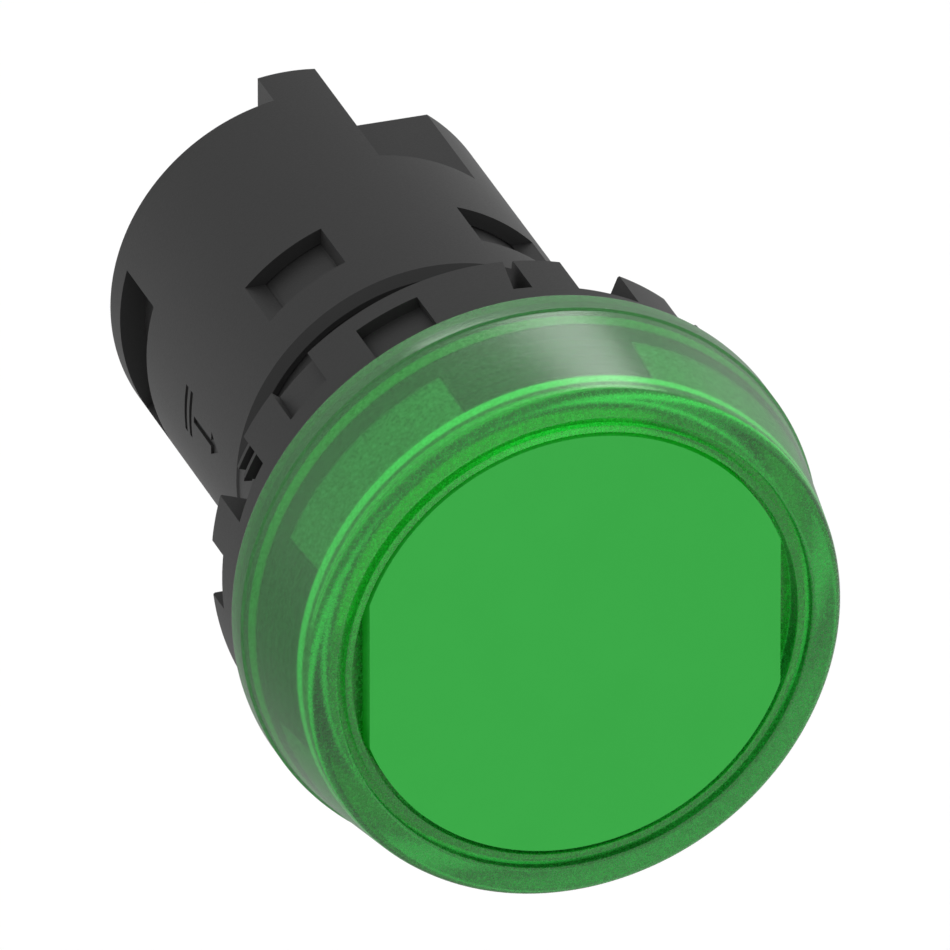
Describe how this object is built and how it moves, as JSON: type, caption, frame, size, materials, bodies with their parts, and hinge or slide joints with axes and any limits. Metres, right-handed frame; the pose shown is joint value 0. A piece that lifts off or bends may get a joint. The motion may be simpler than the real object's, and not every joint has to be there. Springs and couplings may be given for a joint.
{
  "type": "panel pilot light",
  "caption": "Pilot light head for a round panel hole: green screw-on lens with an inset front plate, castellated black collar and a tubular mounting sleeve.",
  "frame": {"origin": "on the lamp's axis, in the plane of the panel's front face, where the seal meets the panel", "axes": "+Y backwards along the axis, into the panel hole; the lens looks towards -Y; +Z is the top, where the sleeve's tab is; +X is to the right as seen from the front"},
  "size_m": [0.0292, 0.0427, 0.0293],
  "materials": {
    "black_plastic": "fine matt moulded black plastic",
    "collar_plastic": "fine matt moulded black plastic",
    "black_rubber": "smooth black rubber",
    "clear_green": "polished transparent green plastic",
    "matt_green": "fine matt green plastic",
    "frosted": "frosted white plastic"
  },
  "bodies": {
    "head": {"mounting_sleeve": "black_plastic", "front_collar": "collar_plastic", "panel_seal": "black_rubber", "light_guide": "frosted"},
    "seal_ring": {"lens_ring": "black_rubber"},
    "lens": {"lens_cap": "clear_green", "front_plate": "matt_green"}
  },
  "joints": [
    {"name": "lens_travel", "type": "slide", "parent": "head", "child": "seal_ring", "axis": [0, -1, 0], "range_m": [0, 0.0048]},
    {"name": "lens_turn", "type": "hinge", "parent": "seal_ring", "child": "lens", "pos_m": [0, -0.01, 0], "axis": [0, -1, 0], "range_deg": [0, 1080]}
  ],
  "couplings": [
    {"joint": "lens_travel", "follows": "lens_turn", "m_per_rad": 0.00025465}
  ]
}
